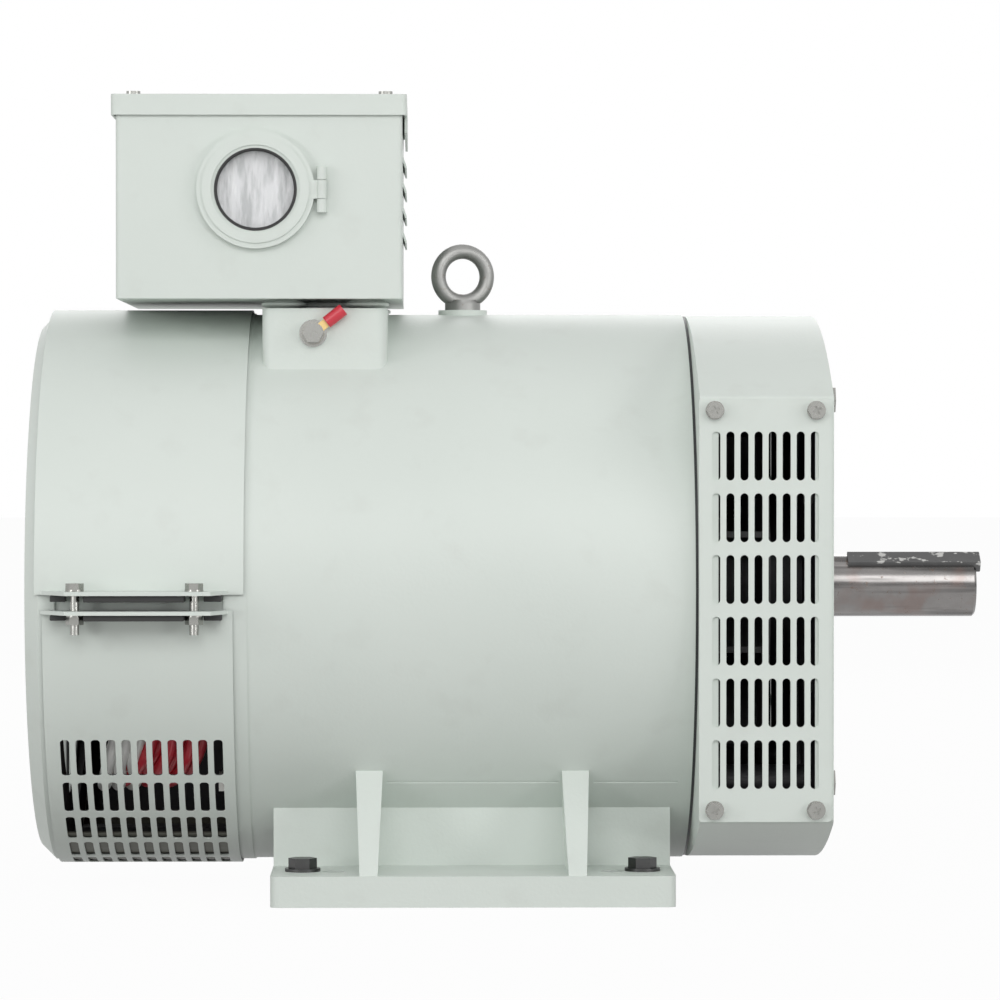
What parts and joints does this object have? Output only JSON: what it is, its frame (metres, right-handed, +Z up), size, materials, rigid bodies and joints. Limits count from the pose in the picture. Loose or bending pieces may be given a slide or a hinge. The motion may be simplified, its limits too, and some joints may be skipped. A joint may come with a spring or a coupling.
{
  "type": "generator alternator head",
  "caption": "Foot-mounted slip-ring alternator with louvred end housings, keyed drive shaft, raised terminal box with a round meter window, clamped end band and lifting eye.",
  "frame": {"origin": "centre of the four foot mounting holes on the underside of the feet", "axes": "+X along the shaft towards the drive end, +Z up out of the feet, -Y towards the earth screw side"},
  "size_m": [0.634, 0.424, 0.5272],
  "materials": {
    "paint": "satin",
    "zinc": "satin",
    "steel": "satin",
    "lamination": "matte",
    "castmetal": "matte",
    "varnish": "satin",
    "brass": "satin",
    "resin": "matte",
    "black": "satin",
    "carbon": "matte",
    "rubber": "matte",
    "red": "satin",
    "white": "satin",
    "glass": "gloss"
  },
  "bodies": {
    "stator": {"box_lid": "paint", "box_pads": "paint", "brush_caps": "black", "brush_holder": "resin", "cable_grommet": "rubber", "clamp_bolts": "zinc", "clamp_nuts": "zinc", "clamp_washers": "zinc", "de_bearing_cap": "paint", "de_bearing_outer": "steel", "de_cap_screws": "zinc", "de_end_shield": "paint", "de_tie_bolts": "zinc", "earth_lug": "brass", "earth_screw": "zinc", "earth_sleeve": "red", "earth_washers": "zinc", "frame": "paint", "grille_front": "paint", "grille_rear": "paint", "grille_screws": "zinc", "grille_spring_washers": "zinc", "jack_bolts": "zinc", "jack_washers": "zinc", "lid_screws": "zinc", "lifting_eye": "steel", "lower_band": "paint", "meter_case": "black", "meter_dial": "white", "nde_bearing_cap": "paint", "nde_bearing_outer": "steel", "nde_cap_screws": "zinc", "nde_end_shield": "paint", "nde_tie_bolts": "zinc", "red_leads": "red", "regulator": "castmetal", "stator_core": "lamination", "stator_windings": "varnish", "terminal_board": "resin", "terminal_box": "paint", "terminal_studs": "brass", "upper_band": "paint", "white_leads": "white", "window_hinge": "zinc"},
    "rotor": {"shaft": "steel", "shaft_key": "steel", "rotor_core": "lamination", "field_coils": "varnish", "fan": "castmetal", "slip_rings": "brass", "slip_ring_bush": "resin", "de_bearing_inner": "steel", "nde_bearing_inner": "steel"},
    "window": {"window_frame": "paint", "window_glass": "glass"},
    "brush_one": {"brush_1": "carbon"},
    "brush_two": {"brush_2": "carbon"},
    "pointer": {"meter_pointer": "red"}
  },
  "joints": [
    {"name": "rotor_spin", "type": "hinge", "parent": "stator", "child": "rotor", "pos_m": [0, 0, 0.2], "axis": [1, 0, 0], "continuous": true},
    {"name": "window_hinge", "type": "hinge", "parent": "stator", "child": "window", "pos_m": [-0.098, -0.13, 0.4623], "axis": [0, 0, 1], "range_deg": [0, 110]},
    {"name": "brush_one_slide", "type": "slide", "parent": "stator", "child": "brush_one", "axis": [0, 0, 1], "range_m": [0, 0.004], "stiffness_N_per_m": 200, "springref_m": -0.02},
    {"name": "brush_two_slide", "type": "slide", "parent": "stator", "child": "brush_two", "axis": [0, 0, 1], "range_m": [0, 0.004], "stiffness_N_per_m": 200, "springref_m": -0.02},
    {"name": "meter_pointer_turn", "type": "hinge", "parent": "stator", "child": "pointer", "pos_m": [-0.1412, -0.1129, 0.4483], "axis": [0, -1, 0], "range_deg": [-90, 0]}
  ]
}
